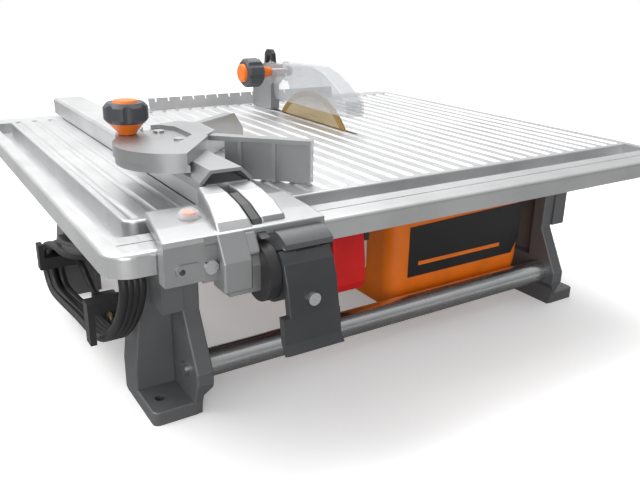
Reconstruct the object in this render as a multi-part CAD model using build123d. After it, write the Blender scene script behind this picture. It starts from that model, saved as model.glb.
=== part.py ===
from build123d import *
import math
import os

os.makedirs("parts", exist_ok=True)

# Table-top wet tile saw. Millimetres. +X runs right along the front, +Y to the back, +Z up.
# The origin is the middle of the four foot bolt holes, on the plane that the feet stand on.

# ---- driving dimensions -------------------------------------------------------------
table_width = 584.0        # X
table_depth = 505.0        # Y
rim_top = 176.0
rim_height = 15.3
rim_side_width = 12.0
rim_front_width = 33.5
moat_width = 14.7
moat_depth = 10.0
deck_rise = 4.5            # deck top above the rim top
deck_thickness = 7.0
rib_pitch = 17.0
rib_groove_radius = 5.0
rib_groove_depth = 1.3
table_corner_radius = 18.0
rim_edge_radius = 3.0
deck_edge_radius = 1.5
casting_edge_radius = 1.5

blade_diameter = 178.0
blade_thickness = 1.6
blade_x = 40.0             # plane of the blade
blade_y = 57.0
blade_exposed = 34.2       # blade above the deck
slot_width = 5.0
arbor_radius = 7.94
running_clearance = 0.05

foot_hole_x = 469.0        # spacing of the foot holes
foot_hole_y = 315.0
foot_hole_radius = 4.5
foot_thickness = 12.0

tube_radius = 12.0
tube_wall = 1.6
tube_y = -165.0
tube_z = 37.0

tub_left = 5.0
tub_width = 180.0
tub_front = -150.0
tub_length = 320.0
tub_bottom = 30.0
tub_height = 116.0
tub_wall = 3.0

motor_radius = 36.0
motor_length = 116.0
motor_wall = 3.0
nose_radius = 18.0

beam_left = -209.0
beam_width = 35.0
beam_height = 17.7
beam_front = -205.2
beam_length = 442.0
beam_gap = 0.4             # beam above the deck

guard_width = 24.0
guard_wall = 2.0
guard_axis_y = 135.0
guard_axis_z = 229.0
knife_thickness = 2.0

cord_radius = 3.75

# ---- values that follow -------------------------------------------------------------
half_w = table_width / 2
half_d = table_depth / 2
rim_bottom = rim_top - rim_height
deck_top = rim_top + deck_rise
deck_under = deck_top - deck_thickness
deck_x = half_w - rim_side_width - moat_width
deck_y = half_d - rim_front_width - moat_width
blade_radius = blade_diameter / 2
blade_z = deck_top + blade_exposed - blade_radius
beam_right = beam_left + beam_width
beam_mid = beam_left + beam_width / 2
beam_bottom = deck_top + beam_gap
beam_top = beam_bottom + beam_height


# ---- small building functions -------------------------------------------------------
def block(x0, x1, y0, y1, z0, z1):
    """A box between two corners."""
    return Pos((x0 + x1) / 2, (y0 + y1) / 2, (z0 + z1) / 2) * Box(x1 - x0, y1 - y0, z1 - z0)


def rod_x(x0, x1, y, z, radius):
    return Pos((x0 + x1) / 2, y, z) * Rot(0, 90, 0) * Cylinder(radius, x1 - x0)


def rod_y(y0, y1, x, z, radius):
    return Pos(x, (y0 + y1) / 2, z) * Rot(90, 0, 0) * Cylinder(radius, y1 - y0)


def rod_z(z0, z1, x, y, radius):
    return Pos(x, y, (z0 + z1) / 2) * Cylinder(radius, z1 - z0)


def slab(corners, along, rounding=0.0):
    """A flat outline given by 3-D corners, rounded if asked, pushed along a vector."""
    if rounding:
        outline = FilletPolyline(*corners, radius=rounding, close=True)
    else:
        outline = Polyline(*corners, close=True)
    return extrude(make_face(outline.edges()), amount=Vector(*along).length, dir=along)


def slab_yz(points, x0, x1, rounding=0.0):
    return slab([(x0, y, z) for y, z in points], (x1 - x0, 0, 0), rounding)


def slab_xz(points, y0, y1, rounding=0.0):
    return slab([(x, y0, z) for x, z in points], (0, y1 - y0, 0), rounding)


def slab_xy(points, z0, z1, rounding=0.0):
    return slab([(x, y, z0) for x, y in points], (0, 0, z1 - z0), rounding)


def rounded_plate(x0, x1, y0, y1, z0, z1, radius):
    return slab_xy([(x0, y0), (x1, y0), (x1, y1), (x0, y1)], z0, z1, radius)


def soften(shape, radius):
    """Round every edge of a simple shape."""
    return fillet(shape.edges(), radius)


def soften_top(shape, radius):
    """Round the edges round a shape's top face."""
    return fillet(shape.edges().group_by(Axis.Z)[-1], radius)


def turned(profile, y, z):
    """A piece turned about an X axis, from (x, radius) points."""
    face = make_face(Polyline(*[(x, y, z + r) for x, r in profile], close=True).edges())
    return revolve(face, axis=Axis((0, y, z), (1, 0, 0)))


def turned_z(profile, x, y):
    """A piece turned about a Z axis, from (radius, z) points."""
    face = make_face(Polyline(*[(x + r, y, z) for r, z in profile], close=True).edges())
    return revolve(face, axis=Axis((x, y, 0), (0, 0, 1)))


def save(name, shape):
    export_step(shape, f"parts/{name}.step")


# ---- table --------------------------------------------------------------------------
table = rounded_plate(-half_w, half_w, -half_d, half_d, rim_bottom, rim_top, table_corner_radius)
table = soften_top(table, rim_edge_radius)
moat_x = half_w - rim_side_width
moat_y = half_d - rim_front_width
table -= rounded_plate(-moat_x, moat_x, -moat_y, moat_y, rim_top - moat_depth, rim_top + 1, 12.0)
deck = rounded_plate(-deck_x, deck_x, -deck_y, deck_y, rim_top - moat_depth - 0.5, deck_top, 9.0)
deck = soften_top(deck, deck_edge_radius)
table += deck
rail_in = 212.0            # the strips that the stand bolts to
rail_out = 238.5
table_skin = 4.0
for left, right in ((-deck_x + table_skin, -rail_out), (-rail_in, rail_in), (rail_out, deck_x - table_skin)):
    table -= block(left, right, -deck_y + table_skin, deck_y - table_skin, rim_bottom - 1, deck_under)
for side in (-1, 1):
    y_outer = side * (half_d - table_skin)
    y_inner = side * (moat_y + table_skin)
    table -= block(-moat_x, moat_x, min(y_outer, y_inner), max(y_outer, y_inner), rim_bottom - 1, rim_top - 5)
for x in (-155.0, 110.0, 195.0):
    table += block(x - 2, x + 2, -deck_y + 1, deck_y - 1, rim_bottom + 2, deck_under + 0.5)
for side in (-1, 1):
    groove_count = int((deck_x - rib_pitch / 2 - side * blade_x) / rib_pitch)
    for i in range(groove_count + 1):
        x = blade_x + side * (rib_pitch / 2 + i * rib_pitch)
        cutter_z = deck_top + rib_groove_radius - rib_groove_depth
        table -= rod_y(-deck_y + 6, deck_y - 6, x, cutter_z, rib_groove_radius)
slot_front = blade_y - blade_radius - 3.6
slot_rear = 189.4
table -= rounded_plate(blade_x - slot_width / 2, blade_x + slot_width / 2, slot_front, slot_rear,
                       rim_bottom - 1, deck_top + 1, slot_width / 2 - 0.05)
rim_line_y = -233.0
table -= block(-moat_x, moat_x, rim_line_y - 0.7, rim_line_y + 0.7, rim_top - 0.8, rim_top + 1)

# ---- splash lip behind the blade ----------------------------------------------------
lip_left = -97.0
lip_length = 274.0
lip_height = 16.0
lip_wall = 3.0
lip_y = moat_y + 1.5
lip_top = rim_top + lip_height
lip_profile = [(lip_y, rim_top), (lip_y + 12.5, rim_top), (lip_y + 12.5, rim_top + lip_wall),
               (lip_y + 4, rim_top + lip_wall), (lip_y + 8.5, lip_top), (lip_y + 5.5, lip_top),
               (lip_y, rim_top + 2)]
splash_lip = slab_yz(lip_profile, lip_left, lip_left + lip_length)
notch_count = int((lip_length - 14) / rib_pitch) + 1
for i in range(notch_count):
    slot_x = lip_left + 9.5 + i * rib_pitch
    splash_lip -= block(slot_x - 1.3, slot_x + 1.3, lip_y - 5, lip_y + 14, lip_top - 4.5, lip_top + 1)
lip_screw_xs = [lip_left + 25 + i * (lip_length - 50) / 3 for i in range(4)]
lip_screw_y = lip_y + 8.6
lip_screws = []
for x in lip_screw_xs:
    shank = rod_z(rim_top - 3, rim_top + lip_wall, x, lip_screw_y, 1.7)
    splash_lip -= shank
    table -= shank
    lip_screws.append(shank + rod_z(rim_top + lip_wall, rim_top + lip_wall + 1.8, x, lip_screw_y, 3.2))
save("splash_lip", splash_lip)
save("lip_screws", Compound(lip_screws))

# ---- stand --------------------------------------------------------------------------
hole_x = foot_hole_x / 2
hole_y = foot_hole_y / 2
leg_outer = hole_x + 12.5
leg_inner = hole_x - 35.5
strut_outer = leg_inner + 14.5
foot_inner = leg_inner + 7.6
leg_back = hole_y - 50.5
wall_front = hole_y - 19.5
rail_bottom = rim_bottom - 20.7
rail_outer = rail_out - 0.5


def span(a, b):
    """The two ends in rising order."""
    return (a, b) if a < b else (b, a)


def leg(side):
    """One leg of the right-hand stand, front (-1) or back (+1)."""
    strut = slab_yz([(side * 165, rim_bottom), (side * leg_back, rim_bottom), (side * leg_back, 0),
                     (side * 178, 0), (side * 180, foot_thickness), (side * 187, 30), (side * 187, 40.5),
                     (side * 163, 86)], leg_inner, strut_outer)
    strut = soften(strut, casting_edge_radius)
    strut -= slab_xz([(leg_inner - 1, -1), (foot_inner, -1), (foot_inner, 19), (leg_inner, 27),
                      (leg_inner - 1, 27)], -260, 260)
    strut -= block(leg_inner - 1, strut_outer - 4, *span(side * 115, side * 150), 52, 136)
    outer_face = [(strut_outer - 0.5, 0), (leg_outer, 0), (leg_outer, 30), (231, rim_bottom),
                  (strut_outer - 0.5, rim_bottom)]
    wall = slab_xz(outer_face, *span(side * leg_back, side * wall_front))
    wall = soften(wall, casting_edge_radius)
    top = block(strut_outer - 0.5, 230.5, *span(side * leg_back, side * 165), 88, rim_bottom)
    foot = rounded_plate(foot_inner, leg_outer, *span(side * leg_back, side * 178), 0, foot_thickness, 5.0)
    foot = soften_top(foot, casting_edge_radius)
    foot -= rod_z(-1, foot_thickness + 1, hole_x, side * hole_y, foot_hole_radius)
    return strut + wall + top + foot


stand_right = leg(-1) + leg(1) + block(strut_outer - 0.5, rail_outer, -150, 150, rail_bottom, rim_bottom)
socket_end = leg_inner + 7.5
stand_right -= rod_x(leg_inner - 1, socket_end, tube_y, tube_z, tube_radius)
stand_right -= rod_x(socket_end - 1, strut_outer + 1, tube_y, tube_z, 3.0)
bolt_x = (strut_outer + rail_outer) / 2
bolt_ys = (-90.0, -30.0, 30.0, 90.0)
bolt_seat = rail_bottom + 10.0
bolt_length = 22.0
bolts = []
for y in bolt_ys:
    shank = rod_z(bolt_seat, bolt_seat + bolt_length, bolt_x, y, 3.0)
    stand_right -= shank
    stand_right -= rod_z(rail_bottom - 1, bolt_seat, bolt_x, y, 6.5)
    bolts.append(shank + rod_z(bolt_seat - 4, bolt_seat, bolt_x, y, 5.5))
table_bolts = Compound(bolts + [mirror(bolt, about=Plane.YZ) for bolt in bolts])
table -= table_bolts
stand_left = mirror(stand_right, about=Plane.YZ)
save("table", table)
save("table_bolts", table_bolts)
save("stand_right", stand_right)
save("stand_left", stand_left)

tube_wall_end = 6.0
front_tube = rod_x(-socket_end, socket_end, tube_y, tube_z, tube_radius)
front_tube -= rod_x(-socket_end + tube_wall_end, socket_end - tube_wall_end, tube_y, tube_z,
                    tube_radius - tube_wall)
tube_bolt = rod_x(socket_end - 5, strut_outer, tube_y, tube_z, 3.0)
tube_bolt += rod_x(strut_outer, strut_outer + 3.2, tube_y, tube_z, 5.6)
tube_bolts = Compound([tube_bolt, mirror(tube_bolt, about=Plane.YZ)])
front_tube -= tube_bolts
save("front_tube", front_tube)
save("tube_bolts", tube_bolts)

# ---- motor, under the deck and left of the blade --------------------------------------
motor_right = tub_left - 7.0
motor_left = motor_right - motor_length
nose_right = motor_right + 26.0
bearing_outer = 13.0
bearing_width = 9.0
seal_width = 3.0
shaft_radius = 6.0
front_bearing_left = nose_right - seal_width - bearing_width - 1.0
housing = rod_x(motor_left, motor_right, blade_y, blade_z, motor_radius)
housing -= rod_x(motor_left - 1, motor_right - 5, blade_y, blade_z, motor_radius - motor_wall)
housing += rod_x(motor_right - 1, nose_right, blade_y, blade_z, nose_radius)
housing -= rod_x(front_bearing_left, nose_right + 1, blade_y, blade_z, bearing_outer)
housing -= rod_x(motor_right - 6, nose_right, blade_y, blade_z, shaft_radius + 2)
vent_count = 4
for i in range(vent_count):
    x = motor_left + 14 + i * 9
    housing -= block(x, x + 4, blade_y - 18, blade_y + 18, blade_z - motor_radius - 1,
                     blade_z - motor_radius + motor_wall + 2.5)

cap_left = motor_left - 14.0
cap_wall = 3.0
rear_bearing_left = cap_left + 4.0
end_cap = rod_x(cap_left, motor_left, blade_y, blade_z, motor_radius)
end_cap -= rod_x(cap_left + cap_wall, motor_left + 1, blade_y, blade_z, motor_radius - motor_wall)
end_cap += rod_x(cap_left + cap_wall - 1, rear_bearing_left + bearing_width, blade_y, blade_z, bearing_outer + 3)
end_cap -= rod_x(rear_bearing_left, motor_left + 1, blade_y, blade_z, bearing_outer)
for i in range(8):
    slot = block(cap_left - 1, cap_left + cap_wall + 0.5, -2, 2, 20, 29)
    end_cap -= Pos(0, blade_y, blade_z) * Rot(i * 45, 0, 0) * slot
save("motor_end_cap", end_cap)

mount_left = motor_left + 20.0
mount_right = motor_right - 14.0
motor_mount = block(mount_left, mount_right, blade_y - 32, blade_y + 32, blade_z + 14, deck_under)
motor_mount -= rod_x(mount_left - 1, mount_right + 1, blade_y, blade_z, motor_radius - 1)
housing += motor_mount
save("motor_housing", housing)

stator_left = motor_left + 24.0
stator_right = motor_right - 33.0
bore_radius = 20.0
stator = rod_x(stator_left, stator_right, blade_y, blade_z, motor_radius - motor_wall)
stator -= rod_x(stator_left - 1, stator_right + 1, blade_y, blade_z, bore_radius)
save("motor_stator", stator)


def bearing(x0, x1):
    ring = rod_x(x0, x1, blade_y, blade_z, bearing_outer)
    return ring - rod_x(x0 - 1, x1 + 1, blade_y, blade_z, shaft_radius + running_clearance)


bearing_lefts = (front_bearing_left, rear_bearing_left)
save("bearings", Compound([bearing(x, x + bearing_width) for x in bearing_lefts]))
save("shaft_seal", bearing(nose_right - seal_width - 1, nose_right - 1))

# ---- spindle and blade ----------------------------------------------------------------
flange_width = 8.0
flange_radius = 22.0
nut_width = 8.0
blade_left = blade_x - blade_thickness / 2
blade_right = blade_x + blade_thickness / 2
shoulder = blade_left - flange_width
nut_left = blade_right + flange_width
spindle = rod_x(rear_bearing_left, shoulder, blade_y, blade_z, shaft_radius)
spindle += rod_x(shoulder, nut_left + nut_width + 3, blade_y, blade_z, arbor_radius)
save("spindle", spindle)

rotor = rod_x(stator_left, stator_right, blade_y, blade_z, bore_radius - 0.8)
rotor -= rod_x(stator_left - 1, stator_right + 1, blade_y, blade_z, shaft_radius)
save("rotor", rotor)

fan_left = motor_left + 6.0
fan_radius = motor_radius - motor_wall - 5.0
fan_width = 9.0
fan = rod_x(fan_left, fan_left + 2, blade_y, blade_z, fan_radius)
fan += rod_x(fan_left, fan_left + fan_width, blade_y, blade_z, 10.0)
for i in range(9):
    vane = block(fan_left + 1, fan_left + fan_width, -1, 1, 8, fan_radius - 0.5)
    fan += Pos(0, blade_y, blade_z) * Rot(i * 40, 0, 0) * vane
fan -= rod_x(fan_left - 1, fan_left + fan_width + 1, blade_y, blade_z, shaft_radius)
save("cooling_fan", fan)

inner_flange = rod_x(shoulder, blade_left, blade_y, blade_z, flange_radius)
inner_flange -= rod_x(shoulder - 1, blade_left + 1, blade_y, blade_z, arbor_radius)
save("flange_inner", inner_flange)
outer_flange = rod_x(blade_right, nut_left, blade_y, blade_z, flange_radius)
outer_flange -= rod_x(blade_right - 1, nut_left + 1, blade_y, blade_z, arbor_radius)
save("flange_outer", outer_flange)
nut_flats = 24.0
nut_plane = Plane((nut_left, blade_y, blade_z), x_dir=(0, 1, 0), z_dir=(1, 0, 0))
hexagon = nut_plane * RegularPolygon(nut_flats / 2, 6, major_radius=False)
arbor_nut = extrude(hexagon, amount=nut_width, dir=(1, 0, 0))
arbor_nut -= rod_x(nut_left - 1, nut_left + nut_width + 1, blade_y, blade_z, arbor_radius)
save("arbor_nut", arbor_nut)

edge_band = 7.0
edge_extra = 0.3
saw_blade = rod_x(blade_left, blade_right, blade_y, blade_z, blade_radius - edge_band + 0.5)
edge = rod_x(blade_left - edge_extra, blade_right + edge_extra, blade_y, blade_z, blade_radius)
edge -= rod_x(blade_left - 1, blade_right + 1, blade_y, blade_z, blade_radius - edge_band)
saw_blade += edge
saw_blade -= rod_x(blade_left - 1, blade_right + 1, blade_y, blade_z, arbor_radius)
save("saw_blade", saw_blade)

# ---- riving knife and guard bracket ------------------------------------------------------
knife_left = blade_x - knife_thickness / 2
knife_right = blade_x + knife_thickness / 2
knife_front = blade_y + blade_radius + 4.0
knife_rear = slot_rear - 3.0
knife_low = 150.0
knife_outline = [(knife_front, knife_low), (knife_rear, knife_low), (knife_rear, 204), (knife_rear - 8, 222),
                 (knife_front + 8, 222), (knife_front, 205)]
riving_knife = slab_yz(knife_outline, knife_left, knife_right)
knife_screw_z = 161.0
knife_screw_ys = (knife_front + 9, knife_rear - 9)
for y in knife_screw_ys:
    riving_knife -= rod_x(knife_left - 1, knife_right + 1, y, knife_screw_z, 2.5)
save("riving_knife", riving_knife)
holder_width = 14.0
knife_holder = block(knife_right, knife_right + holder_width, knife_front, knife_rear, knife_low, deck_under)
knife_screws = []
for y in knife_screw_ys:
    shank = rod_x(knife_left, knife_right + holder_width, y, knife_screw_z, 2.5)
    knife_holder -= shank
    knife_screws.append(shank + rod_x(knife_left - 2.6, knife_left, y, knife_screw_z, 4.6))
save("knife_holder", knife_holder)
save("knife_screws", Compound(knife_screws))

pivot_radius = 4.0
bracket_width = 12.0
bracket_low = deck_top + 0.5
bracket = slab_yz([(145.6, bracket_low), (194.5, bracket_low), (194, 208), (177, 229), (163, 237), (136, 236.9),
                   (130, 223), (145, 211)], blade_x - bracket_width / 2, blade_x + bracket_width / 2)
bracket -= riving_knife
bracket -= rod_x(knife_left - 20, knife_right + 20, guard_axis_y, guard_axis_z, pivot_radius)
save("guard_bracket", bracket)
catch_low = 237.0
catch = slab_yz([(146, catch_low), (148, 249), (153, 253.5), (162, 253.5), (167, 249), (169, catch_low - 4),
                 (163, catch_low), (161.5, 246), (154, 246), (152, catch_low)], blade_x - 2.5, blade_x + 2.5)
catch -= bracket
save("guard_catch", catch)

# ---- blade guard ---------------------------------------------------------------------------
guard_left = blade_x - guard_width / 2
guard_right = blade_x + guard_width / 2
guard_low = 198.0
guard_end = guard_axis_y - 7.0
guard_outline = [(-31, guard_low), (-31, 204), (-29, 214), (-20, 222), (0, 233), (15, 240), (38, 245),
                 (105, 242), (guard_end + 4, 240.4), (guard_axis_y, 229), (122, guard_low)]
guard_hollow = [(-29, guard_low - 1), (-29, 203.8), (-27.2, 212.9), (-18.9, 220.2), (0.9, 231.1), (15.6, 237.9),
                (38.1, 242.9), (104.9, 240), (guard_end, 238.7), (guard_end, 260), (guard_axis_y + 20, 260),
                (guard_axis_y + 20, guard_low - 1)]
ear_radius = 12.5
guard_shell = soften(slab_yz(guard_outline, guard_left, guard_right), 1.2)
guard_shell += rod_x(guard_left, guard_right, guard_axis_y, guard_axis_z, ear_radius)
guard_shell -= slab_yz(guard_hollow, guard_left + guard_wall, guard_right - guard_wall)
guard_shell -= rod_x(guard_left - 1, guard_right + 1, guard_axis_y, guard_axis_z,
                     pivot_radius + running_clearance)
save("guard_shell", guard_shell)

# ---- guard knob, turning on the guard's axis --------------------------------------------------
neck_right = guard_left - 0.5
neck_length = 14.5
cap_length = 22.0
cap_radius = 17.0
insert_length = 4.0
cap_right = neck_right - neck_length
cap_end = cap_right - cap_length
guard_bolt = rod_x(neck_right - 12, guard_right + 0.6, guard_axis_y, guard_axis_z,
                   pivot_radius - running_clearance)
guard_bolt += rod_x(guard_right + 0.6, guard_right + 4, guard_axis_y, guard_axis_z, 6.5)
save("guard_bolt", guard_bolt)
guard_neck = turned([(neck_right, 0), (neck_right, 5), (neck_right - 3, 5.5), (cap_right, 9), (cap_right, 0)],
                    guard_axis_y, guard_axis_z)
guard_neck -= guard_bolt
save("guard_knob_neck", guard_neck)
guard_cap = turned([(cap_right, 0), (cap_right, cap_radius - 3), (cap_right - 3, cap_radius),
                    (cap_end + 3, cap_radius), (cap_end, cap_radius - 3), (cap_end, 0)], guard_axis_y, guard_axis_z)
cap_lobes = 7
for i in range(cap_lobes):
    flute = rod_x(cap_end - 1, cap_right + 1, 0, cap_radius + 3.2, 5.0)
    guard_cap -= Pos(0, guard_axis_y, guard_axis_z) * Rot(i * 360 / cap_lobes, 0, 0) * flute
save("guard_knob_cap", guard_cap)
guard_insert = turned([(cap_end, 0), (cap_end, 11), (cap_end - insert_length + 1, 10.4), (cap_end - insert_length, 9),
                       (cap_end - insert_length, 0)], guard_axis_y, guard_axis_z)
save("guard_knob_insert", guard_insert)

# ---- switch ---------------------------------------------------------------------------
box_left = -92.0
box_right = -38.0
box_front = -165.0
box_low = 72.0
box_wall = 3.0
switch_box = rounded_plate(box_left, box_right, box_front, -125, box_low, deck_under, 4.0)
switch_box -= block(box_left + box_wall, box_right - box_wall, box_front + box_wall, -125 - box_wall,
                    box_low + box_wall, deck_under + 1)
paddle_axis_y = box_front - 6.5
paddle_axis_z = 124.0
lug_width = 5.0
for x in (box_left + 5, box_right - 5 - lug_width):
    switch_box += block(x, x + lug_width, paddle_axis_y - 3.5, box_front + 1, paddle_axis_z - 4, paddle_axis_z + 6)
paddle_pin = rod_x(box_left + 6, box_right - 6, paddle_axis_y, paddle_axis_z, 1.8)
switch_box -= paddle_pin
save("switch_box", switch_box)
save("paddle_pin", paddle_pin)
paddle_left = box_left + 5 + lug_width + 0.6
paddle_right = box_right - 5 - lug_width - 0.6
paddle = slab_yz([(box_front - 10, 130), (box_front - 3.5, 130), (box_front - 3.5, 80), (box_front - 6, 76),
                  (box_front - 11, 76), (box_front - 15, 84), (box_front - 14, 104)], paddle_left, paddle_right)
paddle = soften(paddle, 1.5)
paddle -= rod_x(paddle_left - 1, paddle_right + 1, paddle_axis_y, paddle_axis_z, 1.8 + running_clearance)
save("switch_paddle", paddle)
indicator = block(box_right - 6, box_right - 1, box_front - 1.6, box_front, 90, 118)
save("switch_indicator", indicator)

# ---- water tub --------------------------------------------------------------------------
tub_right = tub_left + tub_width
tub_rear = tub_front + tub_length
tub_top = tub_bottom + tub_height
tub_corner = 16.0


def tub_volume(inset, top):
    x0, x1 = tub_left + inset, tub_right - inset
    outline = [(x0, tub_bottom + inset), (x1 - 17, tub_bottom + inset), (x1 - 14, 42), (x1 - 1, 67.5), (x1, top),
               (x0, top)]
    prism = slab_xz(outline, tub_front, tub_rear)
    return prism & rounded_plate(x0, x1, tub_front + inset, tub_rear - inset, 0, top, tub_corner - inset)


water_tub = tub_volume(0, tub_top) - tub_volume(tub_wall, tub_top + 1)
notch_half = nose_radius + 3.0
water_tub -= block(tub_left - 1, tub_left + tub_wall + 2, blade_y - notch_half, blade_y + notch_half,
                   blade_z - notch_half, tub_top + 1)
drain_x = tub_left + tub_width / 2
drain_z = tub_bottom + 14.0
drain_radius = 8.0
water_tub -= rod_y(tub_rear - 10, tub_rear + 10, drain_x, drain_z, drain_radius)
save("water_tub", water_tub)
badge = slab_xz([(tub_left + 20, 60), (tub_right - 17, 60), (tub_right - 8, 78), (tub_right - 8, 116),
                 (tub_left + 20, 112)], tub_front - 0.8, tub_front)
save("tub_badge", badge)
drain_plug = rod_y(tub_rear, tub_rear + 6, drain_x, drain_z, 11.0)
drain_plug += rod_y(tub_rear - 5, tub_rear + 1, drain_x, drain_z, drain_radius - running_clearance)
save("drain_plug", drain_plug)
guide_low_z = tub_top - 16.0
guide_gap = 1.0
guide_thickness = 2.0
guide_left_x = tub_left + tub_wall + guide_gap
guide_right_x = tub_right - tub_wall - guide_gap - guide_thickness
tub_guides = [block(x, x + guide_thickness, -120, -60, guide_low_z, deck_under)
              for x in (guide_left_x, guide_right_x)]
save("tub_guides", Compound(tub_guides))

# ---- fence: beam and head --------------------------------------------------------------
beam_rear = beam_front + beam_length
beam_wall = 3.0
fence_beam = slab_xz([(beam_left, beam_bottom), (beam_right, beam_bottom), (beam_right, beam_top - 2),
                      (beam_right - 2, beam_top), (beam_left + 2, beam_top), (beam_left, beam_top - 2)],
                     beam_front, beam_rear)
fence_beam -= block(beam_left + beam_wall, beam_right - beam_wall, beam_front - 1, beam_rear - 4,
                    beam_bottom - 1, beam_top - beam_wall)
save("fence_beam", fence_beam)

head_left = beam_left - 52.5
head_right = beam_right + 28.0
head_under = rim_top + 0.5
front_gap = 1.5
apron_back = -half_d - front_gap
head_front = -half_d - 9.5
pod_left = beam_left - 17.0
pod_right = pod_left + 20.0
cheek_right = pod_left + 27.2
lever_y = head_front
lever_z = 153.0
pin_radius = 4.0
hub_radius = 22.0
head = slab_yz([(head_front, head_under), (beam_front, head_under), (beam_front, head_under + 10),
                (-240, head_under + 8.5), (head_front, head_under + 6.5)], head_left, head_right)
head -= slab_xy([(head_left - 5, head_front), (head_left, head_front), (head_left + 10, beam_front + 1),
                 (head_left - 5, beam_front + 1)], head_under - 1, head_under + 20)
head = soften(head, casting_edge_radius)
hump_arc = [(beam_front, beam_top), (-222, beam_top - 1.6), (-240, beam_top - 5.2), (-254, beam_top - 11),
            (-263, beam_top - 18)]
hump = slab_yz([(-272, 166), (-258, 170), (-258, head_under), (beam_front, head_under)] + hump_arc,
               pod_left + 2, cheek_right)
hump -= slab_xy([(pod_left, -258), (pod_left + 2, -258), (beam_left - 5, beam_front + 1), (pod_left, beam_front + 1)],
                head_under, beam_top + 5)
head += soften(hump, 2.0)
lobe_arc = [(y, z - 0.8) for y, z in hump_arc[:-1]]
lobe = slab_yz([(-256, head_under + 6), (beam_front, head_under)] + lobe_arc, cheek_right + 8, beam_right + 1)
head += soften(lobe, casting_edge_radius)
head += slab_yz([(head_front - 2, 155), (apron_back, 155), (apron_back, head_under + 6), (head_front, head_under + 6.5),
                 (head_front - 2, head_under + 4)], head_left, head_left + 26.5)
head += block(head_left + 26, head_left + 36, head_front + 1, apron_back, 152, head_under + 4)
head += block(beam_left + beam_wall + 0.2, beam_right - beam_wall - 0.2, beam_front - 1, beam_front + 28,
              beam_bottom + 0.4, beam_top - beam_wall - 0.3)
pod = slab_yz([(-272, 146), (-272, 166), (head_front, 183), (apron_back, 184), (apron_back, 146)],
              pod_left, pod_right)
head += soften(pod, casting_edge_radius)
head += slab_yz([(-268, 142), (-268, 160), (-259, 179), (apron_back, 180), (apron_back, 142)],
                pod_left + 5, cheek_right)
boss = slab_xz([(head_left + 7, 159.5), (head_left + 24, 159.5), (head_left + 24, 168.5), (head_left + 7, 168.5)],
               head_front - 3.2, head_front - 1.5, 4.2)
head += boss
head -= rod_y(head_front - 4, head_front + 3, head_left + 11, 164, 2.0)
hood = rod_x(-186, head_right - 4, lever_y, lever_z, hub_radius + 4.2)
hood -= rod_x(-187, head_right, lever_y, lever_z, hub_radius + 1.5)
hood &= block(-186, head_right - 4, lever_y - 16, lever_y + 1, lever_z + 16, lever_z + 40)
hood -= head
save("lever_hood", hood)
lever_pin = rod_x(cheek_right - 6, cheek_right + 24, lever_y, lever_z, pin_radius)
head -= lever_pin
head_screw_x = head_left + 30.5
head_screw = rod_y(head_front - 3, head_front + 1, head_screw_x, 163.4, 4.6)
head -= head_screw
friction_disc = rod_x(cheek_right, cheek_right + 8, lever_y, lever_z, hub_radius - 2)
friction_disc &= block(cheek_right - 1, cheek_right + 9, -300, apron_back, 120, 190)
friction_disc -= lever_pin
band_arc = [(y, z - 1.4) for y, z in hump_arc[1:]]
cam_band = slab_yz([(-222, head_under + 7), (-252, head_under + 5), (head_front - 3, head_under + 0.6),
                    (head_front - 6, head_under + 0.6)] + band_arc[::-1], cheek_right + 1, cheek_right + 7)
cam_band -= head
save("fence_head", head)
save("lever_pin", lever_pin)
save("head_screw", head_screw)
save("friction_disc", Compound([friction_disc, cam_band]))

cursor_x = beam_left - 21.0
cursor_y = -228.0
cursor_z = head_under + 9.0
lens = turned_z([(0, cursor_z - 2), (8, cursor_z - 2), (8, cursor_z + 1.2), (6.4, cursor_z + 4.4), (3.4, cursor_z + 6),
                 (0, cursor_z + 6.4)], cursor_x, cursor_y)
lens -= turned_z([(0, cursor_z - 3), (5.6, cursor_z - 3), (5.6, cursor_z + 2.6), (0, cursor_z + 2.8)],
                 cursor_x, cursor_y)
lens -= head
save("cursor_lens", lens)

# ---- fence lever -------------------------------------------------------------------------
# The hub is full-size only where it never meets the table's edge as the lever swings up.
hub_left = cheek_right + 8.6
hub_width = 12.0
plate_right = hub_left + 38.2
hub_core = 11.0
hub = rod_x(hub_left, hub_left + hub_width, lever_y, lever_z, hub_radius)
hub -= slab_yz([(lever_y - 8.5, lever_z + 10), (lever_y - 21, lever_z + 24.5), (lever_y + 40, lever_z + 40),
                (lever_y + 40, lever_z + 3), (lever_y + 10, lever_z + 3)], hub_left - 1, hub_left + hub_width + 1)
hub += rod_x(hub_left, hub_left + hub_width, lever_y, lever_z, hub_core)
plate_back = [(lever_y - 31, 103.5), (lever_y - 26, 112), (lever_y - 23, 130), (lever_y - 19.5, 150),
              (lever_y - 17, 158), (lever_y - 11.5, 165)]
plate_front = [(lever_y - 15, 169.2), (lever_y - 20.5, 161.8), (lever_y - 25, 150), (lever_y - 29, 130),
               (lever_y - 31.5, 112), (lever_y - 36, 106)]
plate = soften(slab_yz(plate_back + plate_front, hub_left, plate_right), 1.2)
lever = hub + plate
lever += slab_yz([(lever_y - 31, 103.5), (lever_y - 26, 112), (lever_y - 23.2, 129), (lever_y - 29.2, 129),
                  (lever_y - 31.5, 112), (lever_y - 36, 106)], hub_left - 4.6, plate_right)
lever += rod_x(hub_left, plate_right - 2, lever_y - 21.5, lever_z - 8, 2.6)
lever -= rod_x(hub_left - 1, hub_left + hub_width + 1, lever_y, lever_z, pin_radius + running_clearance)
lever_screw = rod_y(lever_y - 30.2, lever_y - 24, hub_left + 18, 139, 4.4)
lever -= lever_screw
save("clamp_lever", lever)
save("lever_screw", lever_screw)

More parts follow.
